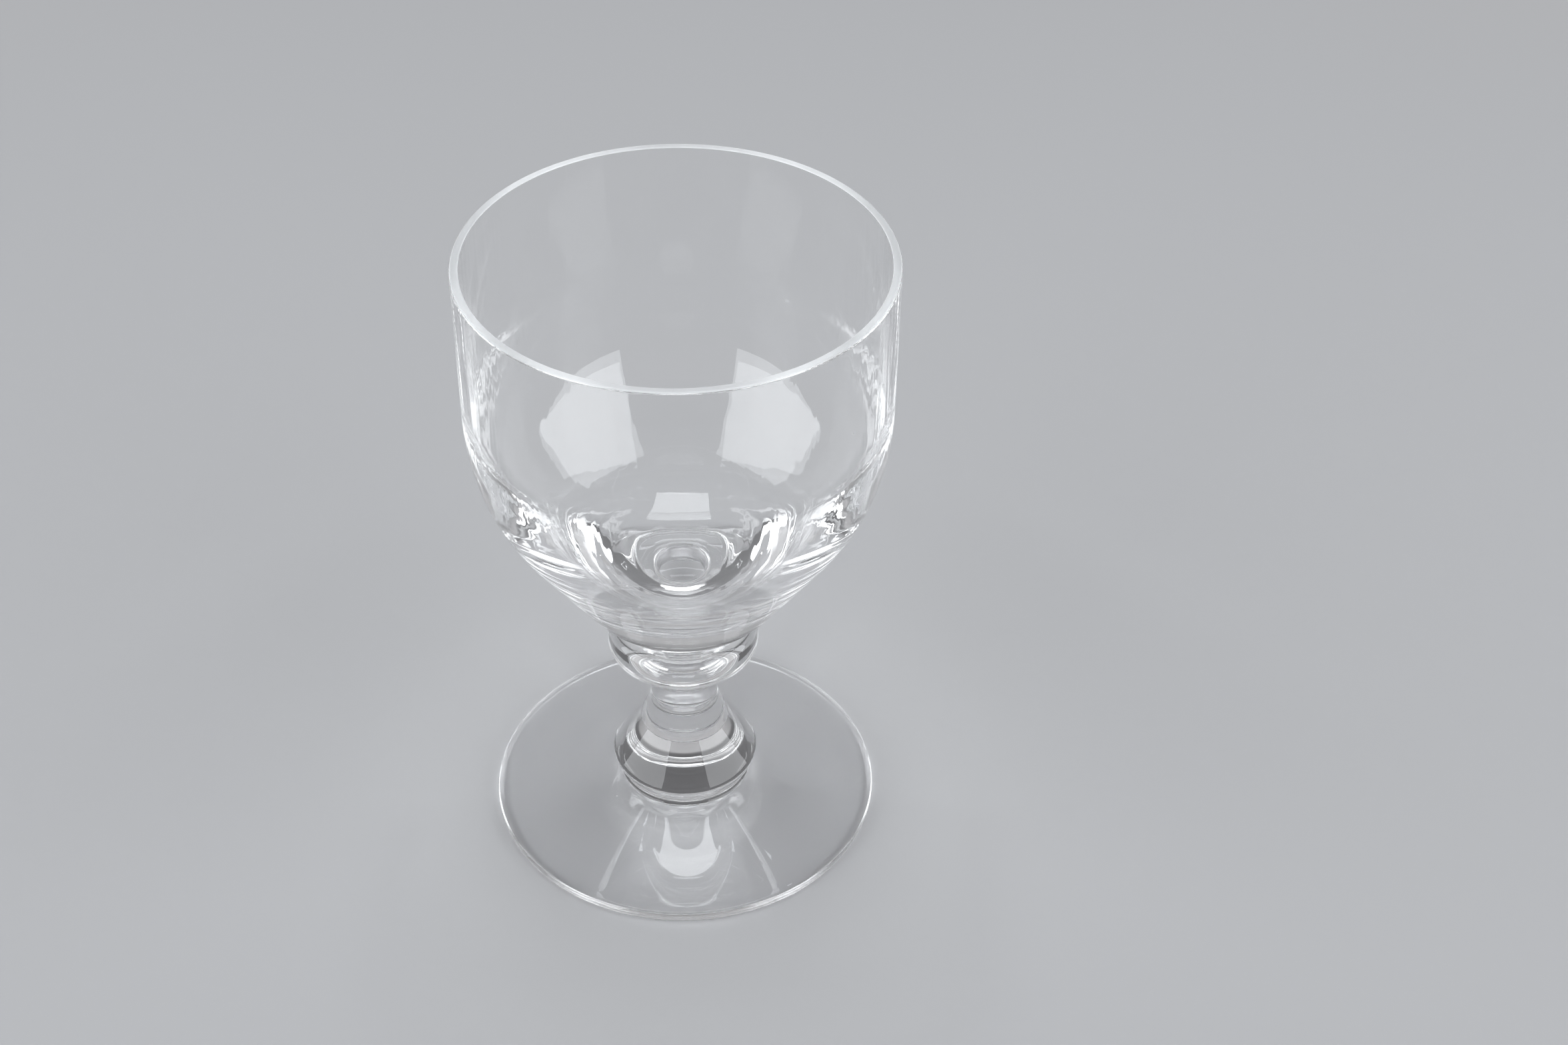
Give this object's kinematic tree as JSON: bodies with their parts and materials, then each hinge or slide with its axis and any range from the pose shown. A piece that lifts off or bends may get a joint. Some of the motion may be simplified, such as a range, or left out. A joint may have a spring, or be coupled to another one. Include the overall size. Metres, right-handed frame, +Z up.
{
  "type": "wine rummer",
  "caption": "Short-stemmed drinking glass: an open bucket-shaped bowl on a collar, a neck with a bladed knop and a wide round foot to stand on.",
  "frame": {"origin": "centre of the circle on which the foot stands, at table height", "axes": "+Z up along the axis of the bowl and stem; the glass is round, so +X and +Y are any two directions square to it"},
  "size_m": [0.073, 0.073, 0.12],
  "materials": {
    "glass": "clear and colourless, polished, with the lip ground flat"
  },
  "bodies": {
    "root": {"rummer": "glass"}
  },
  "joints": []
}
